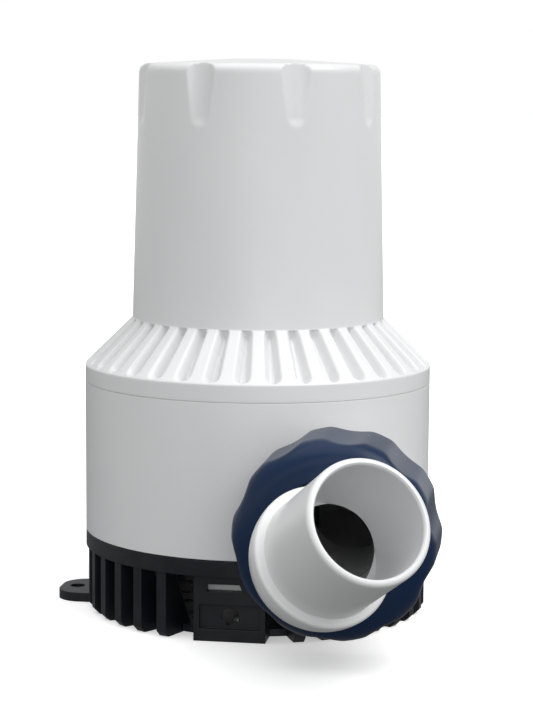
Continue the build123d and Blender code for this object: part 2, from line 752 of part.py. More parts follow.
with BuildPart() as impeller_nut:
    with BuildSketch(Plane.XY.offset(IMPELLER_LOW_Z - NUT_T)):
        RegularPolygon(NUT_FLATS / 2, 6, major_radius=False)
        Circle(SHAFT_THREAD_R, mode=Mode.SUBTRACT)
    extrude(amount=NUT_T)
    chamfer(impeller_nut.faces().sort_by(Axis.Z)[0].edges().filter_by(GeomType.LINE), EDGE_CHAMFER)
finish(impeller_nut, "impeller_nut")


# ---------------------------------------------------------------------------------------------
# Motor
# ---------------------------------------------------------------------------------------------

BEARING_R = 11.0
BEARING_T = 5.0
CAN_Z0 = PLATE_TOP_Z + BELL_T
LOWER_BEARING_Z = CAN_Z0 - BEARING_T
BEARING_INSET = 0.5
UPPER_BEARING_Z = CAN_Z1 + BEARING_INSET
MAGNET_SPAN = 140.0        # degrees
MAGNET_Z0 = 80.0
MAGNET_Z1 = 142.0
MAGNET_R = MOTOR_R - CAN_T - RUNNING_GAP
WINDING_T = 7.0
WINDING_R0 = 11.0
WINDING_R1 = 24.5
BRUSH_Z = (COMMUTATOR_Z0 + COMMUTATOR_Z1) / 2
SPRING_WIRE_R = 0.35
SPRING_R = 1.8
SPRING_PITCH = 1.5
TERMINAL_W = 6.3
TERMINAL_T = 0.8
TERMINAL_AT_R = 24.0
TERMINAL_GAP = 0.5         # round a terminal in its slot in the end bell
TERMINAL_SLOT_T = TERMINAL_T + 2 * TERMINAL_GAP
TERMINAL_SLOT_W = TERMINAL_W + 2 * TERMINAL_GAP
TERMINAL_RISE = 9.0        # above the upper end bell
TERMINAL_HOLE_RISE = 6.0
TERMINAL_HOLE_R = 0.9
TERMINAL_LIFT = 0.1
BELL_BORE_R = SHAFT_R + 1.5
VENT_R = 3.0
VENTS = 4
VENT_FIRST = 60.0          # degrees
VENT_SPAN = 240.0
RACE_HALF_W = 1.4          # half the width of the groove between a bearing's races
RACE_DEPTH = 0.6
SLOT_ROUND = 1.5
SLOT_AT_R = CORE_R - SLOT_DEPTH / 2 - SLOT_ROUND
SLOT_MOUTH_W = 1.8
SLOT_MOUTH_LENGTH = 4.0
WIRE_GAP = 0.2             # between the windings and the walls of their slots
WINDING_LIFT = 0.1
SEGMENT_GAP_W = 0.6
SEGMENT_GAP_LENGTH = 3.0
BRUSH_PLAY = 0.1
HOLDER_STANDOFF = 2.0

with BuildPart() as motor_shaft:
    with BuildSketch(Plane.XZ):
        with BuildLine():
            Polyline(
                (0, SHAFT_LOW_Z),
                (SHAFT_THREAD_R - EDGE_CHAMFER, SHAFT_LOW_Z),
                (SHAFT_THREAD_R, SHAFT_LOW_Z + EDGE_CHAMFER),
                (SHAFT_THREAD_R, IMPELLER_LOW_Z),
                (SHAFT_R, IMPELLER_LOW_Z),
                (SHAFT_R, SHAFT_TOP_Z - EDGE_CHAMFER),
                (SHAFT_R - EDGE_CHAMFER, SHAFT_TOP_Z),
                (0, SHAFT_TOP_Z),
                close=True,
            )
        make_face()
    revolve(axis=Axis.Z)
finish(motor_shaft, "motor_shaft")

ring("motor_can", MOTOR_R - CAN_T, MOTOR_R, CAN_Z0, CAN_Z1)


def end_bell(name, low_z, bearing_z, windows):
    """A motor end bell: a disc with a bearing seat, and openings for screws or brushes."""
    with BuildPart() as bell:
        with BuildSketch(Plane.XY.offset(low_z)):
            Circle(MOTOR_R)
            Circle(BELL_BORE_R, mode=Mode.SUBTRACT)
            if windows:
                with PolarLocations(TERMINAL_AT_R, 2):
                    Rectangle(TERMINAL_SLOT_T, TERMINAL_SLOT_W, mode=Mode.SUBTRACT)
                with PolarLocations(TERMINAL_AT_R, VENTS, start_angle=VENT_FIRST, angular_range=VENT_SPAN):
                    Circle(VENT_R, mode=Mode.SUBTRACT)
            else:
                with PolarLocations(SCREW_AT_R, 2):
                    Circle(SCREW_R, mode=Mode.SUBTRACT)
        extrude(amount=BELL_T)
        with BuildSketch(Plane.XY.offset(bearing_z)):
            Circle(BEARING_R)
        extrude(amount=BEARING_T, mode=Mode.SUBTRACT)
    finish(bell, name)


def bearing(name, low_z):
    """A ball bearing drawn as its two races joined by the ball ring, with shallow grooves between."""
    middle_r = (SHAFT_R + BEARING_R) / 2
    with BuildPart() as piece:
        with BuildSketch(Plane.XY.offset(low_z)):
            Circle(BEARING_R)
            Circle(SHAFT_R + RUNNING_GAP, mode=Mode.SUBTRACT)
        extrude(amount=BEARING_T)
        for face_z, depth in ((low_z, RACE_DEPTH), (low_z + BEARING_T, -RACE_DEPTH)):
            with BuildSketch(Plane.XY.offset(face_z)):
                Circle(middle_r + RACE_HALF_W)
                Circle(middle_r - RACE_HALF_W, mode=Mode.SUBTRACT)
            extrude(amount=depth, mode=Mode.SUBTRACT)
    finish(piece, name)


end_bell("lower_end_bell", PLATE_TOP_Z, LOWER_BEARING_Z, windows=False)
end_bell("upper_end_bell", CAN_Z1, UPPER_BEARING_Z, windows=True)
bearing("lower_bearing", LOWER_BEARING_Z)
bearing("upper_bearing", UPPER_BEARING_Z)

with BuildPart() as magnets:
    with BuildSketch(Plane.XY.offset(MAGNET_Z0)):
        for middle in (0, 180):
            with BuildLine():
                start = middle - MAGNET_SPAN / 2
                outer = CenterArc((0, 0), MAGNET_R, start, MAGNET_SPAN)
                inner = CenterArc((0, 0), MAGNET_R - MAGNET_T, start, MAGNET_SPAN)
                Line(outer @ 0, inner @ 0)
                Line(outer @ 1, inner @ 1)
            make_face()
    extrude(amount=MAGNET_Z1 - MAGNET_Z0)
finish(magnets, "magnets")

with BuildPart() as armature_core:
    with BuildSketch(Plane.XY.offset(CORE_Z0)):
        Circle(CORE_R)
        Circle(SHAFT_R, mode=Mode.SUBTRACT)
        with PolarLocations(SLOT_AT_R, SLOTS):
            RectangleRounded(SLOT_DEPTH, SLOT_W, SLOT_ROUND, mode=Mode.SUBTRACT)
        with PolarLocations(CORE_R, SLOTS):
            Rectangle(SLOT_MOUTH_LENGTH, SLOT_MOUTH_W, mode=Mode.SUBTRACT)
    extrude(amount=CORE_Z1 - CORE_Z0)
finish(armature_core, "armature_core")

with BuildPart() as windings:
    with BuildSketch(Plane.XY.offset(CORE_Z0 - WINDING_T)):
        with PolarLocations(SLOT_AT_R, SLOTS):
            RectangleRounded(SLOT_DEPTH - 2 * WIRE_GAP, SLOT_W - 2 * WIRE_GAP, SLOT_ROUND - WIRE_GAP)
    extrude(amount=CORE_Z1 - CORE_Z0 + 2 * WINDING_T)
    for low_z in (CORE_Z0 - WINDING_T, CORE_Z1 + WINDING_LIFT):
        with BuildSketch(Plane.XY.offset(low_z)):
            Circle(WINDING_R1)
            Circle(WINDING_R0, mode=Mode.SUBTRACT)
        extrude(amount=WINDING_T - WINDING_LIFT)
finish(windings, "windings")

with BuildPart() as commutator:
    with BuildSketch(Plane.XY.offset(COMMUTATOR_Z0)):
        Circle(COMMUTATOR_R)
        Circle(SHAFT_R, mode=Mode.SUBTRACT)
        with PolarLocations(COMMUTATOR_R, SLOTS):
            Rectangle(SEGMENT_GAP_LENGTH, SEGMENT_GAP_W, mode=Mode.SUBTRACT)
    extrude(amount=COMMUTATOR_Z1 - COMMUTATOR_Z0)
finish(commutator, "commutator")

BRUSH_R0 = COMMUTATOR_R + RUNNING_GAP
BRUSH_R1 = BRUSH_R0 + BRUSH_LENGTH
HOLDER_R0 = BRUSH_R0 + HOLDER_STANDOFF
HOLDER_W = BRUSH_W + 2 * BRUSH_PLAY
HOLDER_H = BRUSH_H + 2 * BRUSH_PLAY
SPRING_R0 = BRUSH_R1 + SPRING_WIRE_R
SPRING_R1 = HOLDER_END_R - HOLDER_WALL - SPRING_WIRE_R


def pair(name, make):
    """Two identical pieces facing each other across the shaft, in one node."""
    with BuildPart() as piece:
        with Locations(Location((0, 0, BRUSH_Z)), Location((0, 0, BRUSH_Z), (0, 0, 180))):
            add(make)
    finish(piece, name)


with BuildPart() as one_brush:
    with BuildSketch(Plane.YZ.offset(BRUSH_R0)):
        Rectangle(BRUSH_W, BRUSH_H)
    extrude(amount=BRUSH_LENGTH)
pair("brushes", one_brush.part)

with BuildPart() as one_holder:
    with BuildSketch(Plane.YZ.offset(HOLDER_R0)):
        Rectangle(HOLDER_W + 2 * HOLDER_WALL, HOLDER_H + 2 * HOLDER_WALL)
    extrude(amount=HOLDER_END_R - HOLDER_R0)
    with BuildSketch(Plane.YZ.offset(HOLDER_R0)):
        Rectangle(HOLDER_W, HOLDER_H)
    extrude(amount=HOLDER_END_R - HOLDER_R0 - HOLDER_WALL, mode=Mode.SUBTRACT)
pair("brush_holders", one_holder.part)

with BuildPart() as one_spring:
    with BuildLine():
        coil = Helix(
            pitch=SPRING_PITCH,
            height=SPRING_R1 - SPRING_R0,
            radius=SPRING_R,
            center=(SPRING_R0, 0, 0),
            direction=(1, 0, 0),
        )
    with BuildSketch(Plane(origin=coil @ 0, z_dir=coil % 0)):
        Circle(SPRING_WIRE_R)
    sweep(is_frenet=True)
pair("brush_springs", one_spring.part)

with BuildPart() as one_terminal:
    terminal_z = BRUSH_H / 2 + HOLDER_WALL + TERMINAL_LIFT
    with BuildSketch(Plane.XY.offset(terminal_z)):
        with Locations((TERMINAL_AT_R, 0)):
            Rectangle(TERMINAL_T, TERMINAL_W)
    extrude(amount=CAN_Z1 + BELL_T + TERMINAL_RISE - BRUSH_Z - terminal_z)
    with BuildSketch(Plane.YZ.offset(TERMINAL_AT_R - TERMINAL_T)):
        with Locations((0, CAN_Z1 + BELL_T + TERMINAL_HOLE_RISE - BRUSH_Z)):
            Circle(TERMINAL_HOLE_R)
    extrude(amount=2 * TERMINAL_T, mode=Mode.SUBTRACT)
pair("brush_terminals", one_terminal.part)

GLAND_PLUG_LENGTH = 8.0
GLAND_COLLAR_T = 2.4
GLAND_COLLAR_R = GLAND_BOSS_R - 0.6

with BuildPart() as cable_gland:
    with BuildSketch(back_plane(GLAND_BOSS_END - GLAND_PLUG_LENGTH)):
        Circle(GLAND_HOLE_R - RUNNING_GAP)
    extrude(amount=GLAND_PLUG_LENGTH)
    with BuildSketch(back_plane(GLAND_BOSS_END)):
        Circle(GLAND_COLLAR_R)
    extrude(amount=GLAND_COLLAR_T)
    with BuildSketch(back_plane(GLAND_BOSS_END - GLAND_PLUG_LENGTH)):
        Circle(CABLE_R)
    extrude(amount=GLAND_PLUG_LENGTH + GLAND_COLLAR_T, mode=Mode.SUBTRACT)
finish(cable_gland, "cable_gland")
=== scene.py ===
"""Looks of the submersible bilge pump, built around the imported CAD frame.

Metres throughout, in the row frame: +Z is the pump's axis, the discharge port points along -Y.
"""

from math import acos, cos, pi, radians, sin, sqrt, tan

import bmesh
import bpy
from mathutils import Matrix, Vector


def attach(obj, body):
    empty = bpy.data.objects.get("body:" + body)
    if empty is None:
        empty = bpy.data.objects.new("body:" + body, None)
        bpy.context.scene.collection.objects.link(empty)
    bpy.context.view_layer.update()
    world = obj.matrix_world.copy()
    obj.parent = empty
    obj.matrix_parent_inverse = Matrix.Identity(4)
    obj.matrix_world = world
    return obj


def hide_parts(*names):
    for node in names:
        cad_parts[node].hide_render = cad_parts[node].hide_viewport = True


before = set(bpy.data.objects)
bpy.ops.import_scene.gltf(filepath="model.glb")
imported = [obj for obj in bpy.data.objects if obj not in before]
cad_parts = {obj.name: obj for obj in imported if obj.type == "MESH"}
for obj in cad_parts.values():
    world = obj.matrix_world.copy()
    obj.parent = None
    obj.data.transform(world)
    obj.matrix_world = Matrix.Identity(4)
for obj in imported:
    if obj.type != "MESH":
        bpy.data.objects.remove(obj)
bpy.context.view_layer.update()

MM = 0.001
SHARP = radians(40)        # edges of the turned pieces sharper than this stay sharp

# ---------------------------------------------------------------------------------------------
# Material building blocks
# ---------------------------------------------------------------------------------------------


class Nodes:
    """A new node material and short calls for the nodes it needs."""

    def __init__(self, name):
        self.material = bpy.data.materials.new(name)
        self.material.use_nodes = True
        self.tree = self.material.node_tree
        self.tree.nodes.clear()
        self.out = self.tree.nodes.new("ShaderNodeOutputMaterial")
        self.shader = self.tree.nodes.new("ShaderNodeBsdfPrincipled")
        self.link(self.shader.outputs["BSDF"], self.out.inputs["Surface"])
        self.place = self.tree.nodes.new("ShaderNodeTexCoord").outputs["Object"]

    def link(self, start, end):
        self.tree.links.new(start, end)

    def stretched(self, scale):
        """Object coordinates scaled along each axis, for a grain that runs one way."""
        node = self.tree.nodes.new("ShaderNodeMapping")
        node.inputs["Scale"].default_value = scale
        self.link(self.place, node.inputs["Vector"])
        return node.outputs["Vector"]

    def noise(self, size, detail=3.0, rough=0.55, place=None):
        """Noise whose features are about size metres across."""
        node = self.tree.nodes.new("ShaderNodeTexNoise")
        node.inputs["Scale"].default_value = 1.0 / size
        node.inputs["Detail"].default_value = detail
        node.inputs["Roughness"].default_value = rough
        self.link(place or self.place, node.inputs["Vector"])
        return node.outputs["Fac"]

    def bands(self, pitch, direction="Z", distortion=0.0):
        """Even bands across a direction."""
        node = self.tree.nodes.new("ShaderNodeTexWave")
        node.wave_type = "BANDS"
        node.bands_direction = direction
        node.inputs["Scale"].default_value = 2 * pi / (20.0 * pitch)
        node.inputs["Distortion"].default_value = distortion
        self.link(self.place, node.inputs["Vector"])
        return node.outputs["Fac"]

    def spread(self, value, low, high, to_low, to_high):
        """Map a value from one range to another, held at its ends."""
        node = self.tree.nodes.new("ShaderNodeMapRange")
        node.inputs["From Min"].default_value = low
        node.inputs["From Max"].default_value = high
        node.inputs["To Min"].default_value = to_low
        node.inputs["To Max"].default_value = to_high
        self.link(value, node.inputs["Value"])
        return node.outputs["Result"]

    def colours(self, factor, stops):
        """A colour ramp: stops are (position, (r, g, b))."""
        node = self.tree.nodes.new("ShaderNodeValToRGB")
        ramp = node.color_ramp
        while len(ramp.elements) < len(stops):
            ramp.elements.new(1.0)
        for element, (position, colour) in zip(ramp.elements, stops):
            element.position = position
            element.color = (*colour, 1.0)
        self.link(factor, node.inputs["Fac"])
        return node.outputs["Color"]

    def layer(self, factor, under, over):
        """One colour laid over another where factor is high."""
        node = self.tree.nodes.new("ShaderNodeMix")
        node.data_type = "RGBA"
        self.link(factor, node.inputs["Factor"])
        for socket, value in ((node.inputs["A"], under), (node.inputs["B"], over)):
            if isinstance(value, tuple):
                socket.default_value = (*value, 1.0)
            else:
                self.link(value, socket)
        return node.outputs["Result"]

    def edges(self, radius):
        """The rounding of sharp edges, as a normal."""
        node = self.tree.nodes.new("ShaderNodeBevel")
        node.samples = 6
        node.inputs["Radius"].default_value = radius
        return node.outputs["Normal"]

    def bump(self, height, depth, strength, normal=None):
        node = self.tree.nodes.new("ShaderNodeBump")
        node.inputs["Strength"].default_value = strength
        node.inputs["Distance"].default_value = depth
        self.link(height, node.inputs["Height"])
        if normal is not None:
            self.link(normal, node.inputs["Normal"])
        return node.outputs["Normal"]

    def finish(self, colour, roughness, normal, metallic=0.0, **sockets):
        self.link(colour, self.shader.inputs["Base Color"])
        self.link(roughness, self.shader.inputs["Roughness"])
        self.link(normal, self.shader.inputs["Normal"])
        self.shader.inputs["Metallic"].default_value = metallic
        for name, value in sockets.items():
            self.shader.inputs[name.replace("_", " ")].default_value = value
        return self.material


def moulded(name, deep, pale, dust, rough, grain, depth, edge=None, dusty=0.03, gloss=0.5):
    """Injection-moulded plastic: faint flow shading, a thin bloom of dust, a fine grain, softened edges."""
    n = Nodes(name)
    flow = n.noise(0.045, 2.0, 0.5, n.stretched((1.0, 1.0, 0.45)))
    tone = n.colours(n.spread(flow, 0.3, 0.7, 0.0, 1.0), ((0.0, deep), (1.0, pale)))
    dusted = n.layer(n.spread(n.noise(0.02, 3.0), 0.4, 0.75, 0.0, dusty), tone, dust)
    smudge = n.noise(0.018, 4.0, 0.6)
    roughness = n.spread(smudge, 0.3, 0.75, rough * 0.94, rough * 1.05)
    normal = n.bump(n.noise(grain, 1.0), depth, 0.15, n.edges(edge) if edge else None)
    return n.finish(dusted, roughness, normal, Specular_IOR_Level=gloss)


def machined(name, dark, light, rough, stretch, size, spots=(0.2, 0.2, 0.2)):
    """Bare metal with fine tool marks that run one way."""
    n = Nodes(name)
    marks = n.noise(size, 4.0, 0.6, n.stretched(stretch))
    tone = n.colours(n.spread(marks, 0.3, 0.7, 0.0, 1.0), ((0.0, dark), (1.0, light)))
    stain = n.spread(n.noise(0.006, 4.0), 0.55, 0.8, 0.0, 0.5)
    colour = n.layer(stain, tone, spots)
    roughness = n.spread(marks, 0.25, 0.75, rough * 0.75, rough * 1.3)
    normal = n.bump(marks, 0.05 * MM, 0.3, n.edges(0.2 * MM))
    return n.finish(colour, roughness, normal, metallic=1.0)


def grainy(name, dark, light, rough, size, depth, metallic=0.0):
    """A matte body with a visible grain, such as ferrite, carbon, cast alloy or rubber."""
    n = Nodes(name)
    grain = n.noise(size, 5.0, 0.7)
    tone = n.colours(n.spread(grain, 0.3, 0.7, 0.0, 1.0), ((0.0, dark), (1.0, light)))
    bloom = n.spread(n.noise(0.008, 3.0), 0.5, 0.8, 0.0, 0.35)
    colour = n.layer(bloom, tone, light)
    roughness = n.spread(grain, 0.2, 0.8, rough * 0.85, min(rough * 1.15, 1.0))
    normal = n.bump(grain, depth, 0.5, n.edges(0.25 * MM))
    return n.finish(colour, roughness, normal, metallic=metallic)


def stacked(name, seam, face, pitch, direction, rough, metallic):
    """Thin layers side by side: the core's steel sheets, or turns of enamelled wire."""
    n = Nodes(name)
    lines = n.bands(pitch, direction, 0.4)
    tone = n.colours(lines, ((0.0, seam), (0.45, face)))
    cloud = n.spread(n.noise(0.007, 4.0), 0.45, 0.8, 0.0, 0.4)
    colour = n.layer(cloud, tone, seam)
    roughness = n.spread(lines, 0.0, 1.0, rough * 1.3, rough * 0.8)
    normal = n.bump(lines, 0.12 * MM, 0.8)
    return n.finish(colour, roughness, normal, metallic=metallic)


WHITE_DEEP = (0.70, 0.71, 0.715)
WHITE_PALE = (0.745, 0.752, 0.755)
WHITE_DUST = (0.50, 0.50, 0.49)
NAVY_DEEP = (0.003, 0.013, 0.042)
NAVY_PALE = (0.0045, 0.021, 0.062)
NAVY_DUST = (0.10, 0.13, 0.2)
BLACK_DEEP = (0.0028, 0.0045, 0.0075)
BLACK_PALE = (0.0055, 0.008, 0.0125)
BLACK_DUST = (0.05, 0.055, 0.06)


def white(name, edge=None):
    """The housings' semi-gloss white, with softened edges where a piece's mesh has sharp ones."""
    return moulded(
        name, WHITE_DEEP, WHITE_PALE, WHITE_DUST, rough=0.30, grain=1.2 * MM, depth=0.02 * MM, edge=edge
    )


def navy():
    return moulded(
        "navy_moulded", NAVY_DEEP, NAVY_PALE, NAVY_DUST, rough=0.32, grain=0.8 * MM, depth=0.03 * MM,
        gloss=0.24,
    )


def black():
    return moulded(
        "black_moulded", BLACK_DEEP, BLACK_PALE, BLACK_DUST, rough=0.42, grain=0.5 * MM, depth=0.05 * MM,
        edge=0.45 * MM, dusty=0.25, gloss=0.3,
    )


def grey_nylon():
    return moulded(
        "glass_filled_nylon", (0.03, 0.03, 0.032), (0.055, 0.055, 0.06), (0.2, 0.2, 0.2), rough=0.5,
        grain=0.35 * MM, depth=0.06 * MM, edge=0.3 * MM,
    )


def rubber():
    return grainy(
        "nitrile_rubber", (0.010, 0.010, 0.011), (0.028, 0.028, 0.029), rough=0.72, size=0.4 * MM,
        depth=0.08 * MM,
    )


def stainless():
    return machined("stainless_steel", (0.42, 0.42, 0.43), (0.66, 0.66, 0.66), 0.26, (1, 1, 18), 1.5 * MM)


def zinc_plate():
    return machined(
        "zinc_plated_can", (0.38, 0.39, 0.40), (0.60, 0.60, 0.58), 0.36, (1, 1, 0.2), 2.5 * MM,
        (0.34, 0.33, 0.27),
    )


def cast_alloy():
    return grainy(
        "cast_alloy", (0.36, 0.36, 0.37), (0.58, 0.58, 0.58), rough=0.52, size=0.6 * MM, depth=0.1 * MM,
        metallic=1.0,
    )


def brass():
    return machined(
        "brass_strip", (0.55, 0.38, 0.13), (0.75, 0.56, 0.24), 0.30, (1, 1, 12), 1.0 * MM, (0.35, 0.24, 0.10)
    )


def copper():
    return machined(
        "commutator_copper", (0.55, 0.22, 0.12), (0.80, 0.42, 0.27), 0.30, (1, 1, 20), 0.8 * MM,
        (0.22, 0.10, 0.06),
    )


def carbon():
    return grainy(
        "carbon_brush", (0.012, 0.012, 0.013), (0.045, 0.044, 0.042), rough=0.55, size=0.25 * MM,
        depth=0.05 * MM,
    )


def ferrite():
    return grainy(
        "ferrite", (0.035, 0.035, 0.038), (0.09, 0.09, 0.092), rough=0.62, size=0.5 * MM, depth=0.08 * MM
    )


def core_sheets():
    return stacked("core_sheets", (0.10, 0.10, 0.11), (0.42, 0.42, 0.44), 0.5 * MM, "Z", 0.42, 1.0)


def enamelled_wire():
    return stacked("enamelled_wire", (0.16, 0.05, 0.02), (0.62, 0.26, 0.10), 0.7 * MM, "DIAGONAL", 0.28, 1.0)


SOFT_WHITE = white("white_moulded")
WHITE = white("white_moulded_edged", 0.35 * MM)
NAVY = navy()
LOOKS = {
    "white_plastic": WHITE,
    "blue_plastic": NAVY,
    "black_plastic": black(),
    "impeller_plastic": grey_nylon(),
    "rubber": rubber(),
    "stainless": stainless(),
    "can_steel": zinc_plate(),
    "bell_alloy": cast_alloy(),
    "brass": brass(),
    "copper": copper(),
    "carbon": carbon(),
    "ferrite": ferrite(),
    "laminations": core_sheets(),
}
NODE_LOOKS = {"windings": enamelled_wire(), "hose_tail": SOFT_WHITE}

for name, node in sorted(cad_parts.items()):
    slot_name = node.data.materials[0].name
    node.data.materials[0] = NODE_LOOKS.get(name, LOOKS[slot_name])

# ---------------------------------------------------------------------------------------------
# Turned pieces with soft moulded forms
# ---------------------------------------------------------------------------------------------


def rounded(corners, steps=6):
    """A section through corners (radius, height, rounding), with each rounding drawn as a short arc."""
    line = []
    for k, (r, z, rounding) in enumerate(corners):
        here = Vector((r, z))
        if rounding == 0 or k in (0, len(corners) - 1):
            line.append(here)
            continue
        before = (Vector(corners[k - 1][:2]) - here).normalized()
        after = (Vector(corners[k + 1][:2]) - here).normalized()
        half = before.angle(after) / 2
        reach = rounding / tan(half)
        centre = here + (before + after).normalized() * (rounding / sin(half))
        start, end = here + before * reach - centre, here + after * reach - centre
        line += [centre + start.slerp(end, j / steps).normalized() * rounding for j in range(steps + 1)]
    return line


def divided(line, step):
    """The same section with no gap longer than step."""
    out = [line[0]]
    for start, end in zip(line, line[1:]):
        parts = max(1, round((end - start).length / step))
        out += [start.lerp(end, j / parts) for j in range(1, parts + 1)]
    return out


def soft_min(first, second, blend):
    """The smaller of two values, with the corner between them rounded."""
    close = max(blend - abs(first - second), 0.0) / blend
    return min(first, second) - close * close * blend / 4


def turned(name, section, columns, place, shape, material, closed=False):
    """A mesh swept round an axis. shape changes a point's (radius, height) by its angle."""
    points = []
    rows = []
    for r, z in section:
        if r < 1e-6:
            rows.append([len(points)] * columns)
            points.append(place(0.0, 0.0, z))
            continue
        rows.append(list(range(len(points), len(points) + columns)))
        for k in range(columns):
            angle = 2 * pi * k / columns
            points.append(place(angle, *shape(r, z, angle)))
    faces = []
    pairs = list(zip(rows, rows[1:]))
    if closed:
        pairs.append((rows[-1], rows[0]))
    for low, high in pairs:
        for k in range(columns):
            ring = [low[k], low[(k + 1) % columns], high[(k + 1) % columns], high[k]]
            faces.append([v for j, v in enumerate(ring) if v != ring[j - 1]])
    mesh = bpy.data.meshes.new(name)
    mesh.from_pydata([p * MM for p in points], [], faces)
    work = bmesh.new()
    work.from_mesh(mesh)
    bmesh.ops.recalc_face_normals(work, faces=work.faces)
    work.to_mesh(mesh)
    work.free()
    mesh.shade_smooth()
    mesh.set_sharp_from_angle(angle=SHARP)
    mesh.materials.append(material)
    piece = bpy.data.objects.new(name, mesh)
    bpy.context.scene.collection.objects.link(piece)
    return piece


def about_axis(angle, r, z):
    """A point round the pump's axis, its angle from the port's side towards +X."""
    return Vector((r * sin(angle), -r * cos(angle), z))


# Motor housing, in millimetres like every piece below
BODY_R = 62.0
SPIGOT_R, SPIGOT_INNER_R, SPIGOT_Z0 = 58.6, 55.2, 66.0
O_RING_GROOVE_R, O_RING_Z0, O_RING_Z1 = 56.7, 72.8, 75.2
SEAM_Z, RIM_TOP_Z = 82.4, 88.5
CONE_TOP_R, CONE_TOP_Z = 45.1, 105.0
UPPER_TOP_R, CORNER_Z, CORNER_R = 42.75, 191.8, 3.2
CROWN_FLAT_R, CROWN_Z, CROWN_ROUND = 12.0, 196.88, 6.0
WALL = 3.0
LINING_NECK_R, LINING_NECK_Z, LINING_FOOT_Z = 41.2, 99.3, 86.0
FINE_ROUND, LIP_ROUND, SEAM_ROUND, RIM_ROUND, NECK_ROUND = 0.2, 0.6, 0.35, 1.0, 0.8
SKIN_STEP = 0.8
RIBS, RIB_FIRST = 36, radians(9.0)
COLUMNS_PER_RIB = 20
GROOVE_HALF_W, GROOVE_HIGH_HALF_W = 3.1, 2.4
GROOVE_DEPTH, GROOVE_HIGH_DEPTH, GROOVE_SOFT = 4.4, 3.3, 2.2
GROOVE_GAP, GROOVE_HIGH_GAP = 0.6, -0.9       # negative: the groove runs out past the shoulder's top
SHOULDER_MARGIN = 1.0
FLUTES, FLUTE_FIRST = 8, radians(25.8)
FLUTE_R, FLUTE_LOW_Z, FLUTE_DEPTH = 9.5, 178.0, 0.7
FLUTE_TILT, FLUTE_SOFT = radians(6.4), 0.35
CONE_LENGTH = Vector((BODY_R - CONE_TOP_R, CONE_TOP_Z - RIM_TOP_Z)).length
CONE_IN = Vector((RIM_TOP_Z - CONE_TOP_Z, CONE_TOP_R - BODY_R)) / CONE_LENGTH


def off_centre(angle, first, count):
    """How far an angle is from the nearest of count evenly spaced ones."""
    pitch = 2 * pi / count
    return (angle - first + pitch / 2) % pitch - pitch / 2


def groove_depth(along, across):
    """Depth of a round-ended groove, given the distance up the slope and across from its middle."""
    half_w = GROOVE_HALF_W + (GROOVE_HIGH_HALF_W - GROOVE_HALF_W) * along / CONE_LENGTH
    middle = min(max(along, GROOVE_GAP + half_w), CONE_LENGTH - GROOVE_HIGH_GAP - half_w)
    inside = half_w - Vector((along - middle, across)).length
    share = min(max(inside / GROOVE_SOFT, 0.0), 1.0)
    deep = GROOVE_DEPTH + (GROOVE_HIGH_DEPTH - GROOVE_DEPTH) * along / CONE_LENGTH
    return deep * share * share * (3 - 2 * share)


def on_shoulder(r, z):
    """Whether a point is on the shoulder's outer slope, not on the lining behind it."""
    outside = r > CONE_TOP_R - SHOULDER_MARGIN and r > SPIGOT_INNER_R - (z - RIM_TOP_Z)
    return outside and RIM_TOP_Z < z < CONE_TOP_Z


def housing_shape(r, z, angle):
    """Sink the shoulder's grooves and the crown's scooped flutes into the turned form."""
    if on_shoulder(r, z):
        along = (BODY_R - r) / (BODY_R - CONE_TOP_R) * CONE_LENGTH
        across = r * off_centre(angle, RIB_FIRST + pi / RIBS, RIBS)
        shift = CONE_IN * groove_depth(along, across)
        return r + shift.x, z + shift.y
    if z > FLUTE_LOW_Z - FLUTE_R and r > UPPER_TOP_R - 2 * CORNER_R:
        wall = UPPER_TOP_R + (CONE_TOP_R - UPPER_TOP_R) * (CORNER_Z - FLUTE_LOW_Z) / (CORNER_Z - CONE_TOP_Z)
        rise = z - FLUTE_LOW_Z
        axis = wall - FLUTE_DEPTH + FLUTE_R - tan(FLUTE_TILT) * max(rise, 0.0)
        size = sqrt(FLUTE_R**2 - min(rise, 0.0) ** 2)
        turn = off_centre(angle, FLUTE_FIRST, FLUTES)
        room = size**2 - (axis * sin(turn)) ** 2
        if room > 0 and cos(turn) > 0:
            return soft_min(r, axis * cos(turn) - sqrt(room), FLUTE_SOFT), z
    return r, z


def make_housing():
    """The motor housing: a turned shell from the spigot's foot, over the rim and shoulder, to the crown."""
    skin = rounded([
        (SPIGOT_INNER_R, SPIGOT_Z0, 0), (SPIGOT_R, SPIGOT_Z0, LIP_ROUND), (SPIGOT_R, O_RING_Z0, FINE_ROUND),
        (O_RING_GROOVE_R, O_RING_Z0, FINE_ROUND), (O_RING_GROOVE_R, O_RING_Z1, FINE_ROUND),
        (SPIGOT_R, O_RING_Z1, FINE_ROUND), (SPIGOT_R, SEAM_Z, 0), (BODY_R, SEAM_Z, SEAM_ROUND),
        (BODY_R, RIM_TOP_Z, RIM_ROUND), (CONE_TOP_R, CONE_TOP_Z, NECK_ROUND),
        (UPPER_TOP_R, CORNER_Z + CORNER_R, CORNER_R), (CROWN_FLAT_R, CROWN_Z, CROWN_ROUND), (0, CROWN_Z, 0),
    ])
    lining = [
        Vector((0, CROWN_Z - WALL)), Vector((UPPER_TOP_R - WALL - CORNER_R, CORNER_Z)),
        Vector((UPPER_TOP_R - WALL, CORNER_Z - CORNER_R)), Vector((LINING_NECK_R, LINING_NECK_Z)),
        Vector((SPIGOT_INNER_R, LINING_FOOT_Z)),
    ]
    section = lining + divided(skin, SKIN_STEP)
    columns = RIBS * COLUMNS_PER_RIB
    return turned("motor_housing_shell", section, columns, about_axis, housing_shape, SOFT_WHITE)


def about_gland(angle, r, y):
    """A point round the cable gland's axis, which runs out of the back."""
    return Vector((r * sin(angle), y, GLAND_Z + r * cos(angle)))


